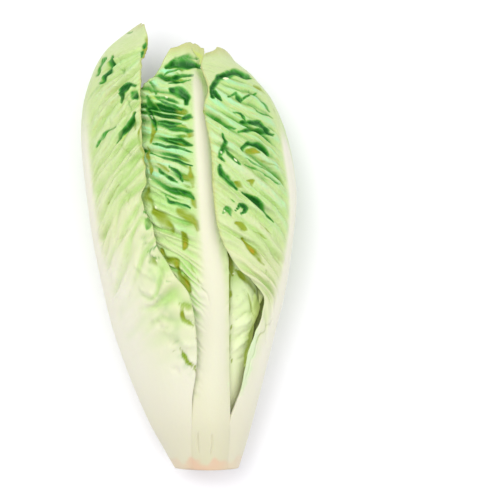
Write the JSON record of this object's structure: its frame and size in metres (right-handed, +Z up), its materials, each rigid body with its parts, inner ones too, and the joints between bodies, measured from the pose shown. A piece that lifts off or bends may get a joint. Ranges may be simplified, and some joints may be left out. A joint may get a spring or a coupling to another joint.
{
  "type": "romaine lettuce heart",
  "caption": "Trimmed romaine lettuce heart lying on its back: long ribbed leaves with crinkled green blades, nested round a short cut stem.",
  "frame": {"origin": "centre of the bounding box on the surface the head lies on", "axes": "+Y from the cut stem to the leaf tips, +Z up from the surface, +X to the right seen from above with the tips away"},
  "size_m": [0.1057, 0.2209, 0.0775],
  "materials": {
    "cut_stem": "damp cut stem, pinkish beige",
    "outer_leaf": "waxy leaf, cream rib and pale green crinkled blade",
    "front_leaf": "waxy leaf, cream rib and green crinkled blade",
    "inner_leaf": "waxy leaf, pale mint to yellow green",
    "heart_leaf": "tender pale yellow leaf"
  },
  "bodies": {
    "root": {"stem_butt": "cut_stem", "outer_leaf_left": "outer_leaf", "outer_leaf_right": "outer_leaf", "outer_leaf_back": "outer_leaf", "front_leaf": "front_leaf", "inner_leaf_front": "inner_leaf", "inner_leaf_right": "inner_leaf", "inner_leaf_left": "inner_leaf", "inner_leaf_back": "inner_leaf", "inner_leaf_left_deep": "inner_leaf", "inner_leaf_back_deep": "inner_leaf", "heart_leaf_1": "heart_leaf", "heart_leaf_2": "heart_leaf", "heart_leaf_3": "heart_leaf", "heart_leaf_4": "heart_leaf", "heart_leaf_5": "heart_leaf"}
  },
  "joints": []
}
